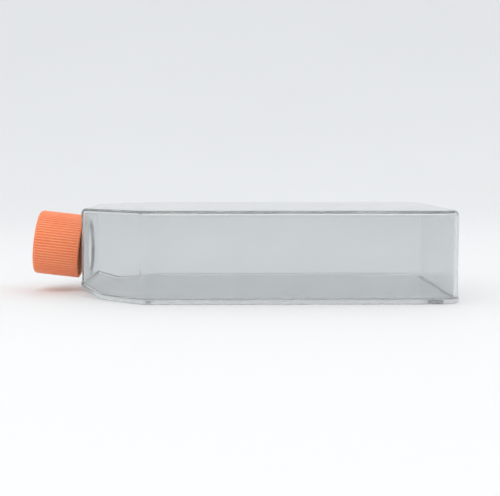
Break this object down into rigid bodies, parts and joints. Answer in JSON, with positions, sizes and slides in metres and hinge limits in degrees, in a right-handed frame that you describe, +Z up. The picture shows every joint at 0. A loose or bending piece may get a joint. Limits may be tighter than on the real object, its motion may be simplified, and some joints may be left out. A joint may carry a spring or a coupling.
{
  "type": "cell culture flask",
  "caption": "Flat clear flask with tapered shoulders, a ramp to an angled threaded neck and a ribbed orange vent cap that unscrews.",
  "frame": {"origin": "centre of the flat face that the flask rests on, halfway along the body", "axes": "+X along the flask from the neck end to the base end, +Y across it, +Z up from the resting face"},
  "size_m": [0.2213, 0.1344, 0.046],
  "materials": {
    "clear_polystyrene": "polished",
    "orange_cap_plastic": "satin",
    "filter_membrane": "matte"
  },
  "bodies": {
    "flask": {"flask_body": "clear_polystyrene", "growth_plate": "clear_polystyrene"},
    "cap_lifter": {"vent_membrane": "filter_membrane"},
    "cap": {"cap": "orange_cap_plastic"}
  },
  "joints": [
    {"name": "cap_lift", "type": "slide", "parent": "flask", "child": "cap_lifter", "axis": [-0.9936, 0, 0.1132], "range_m": [0, 0.0275]},
    {"name": "cap_turn", "type": "hinge", "parent": "cap_lifter", "child": "cap", "pos_m": [-0.0955, 0, 0.02352], "axis": [-0.9936, 0, 0.1132], "range_deg": [0, 1800]}
  ],
  "couplings": [
    {"joint": "cap_lift", "follows": "cap_turn", "m_per_rad": 0.00087535}
  ]
}
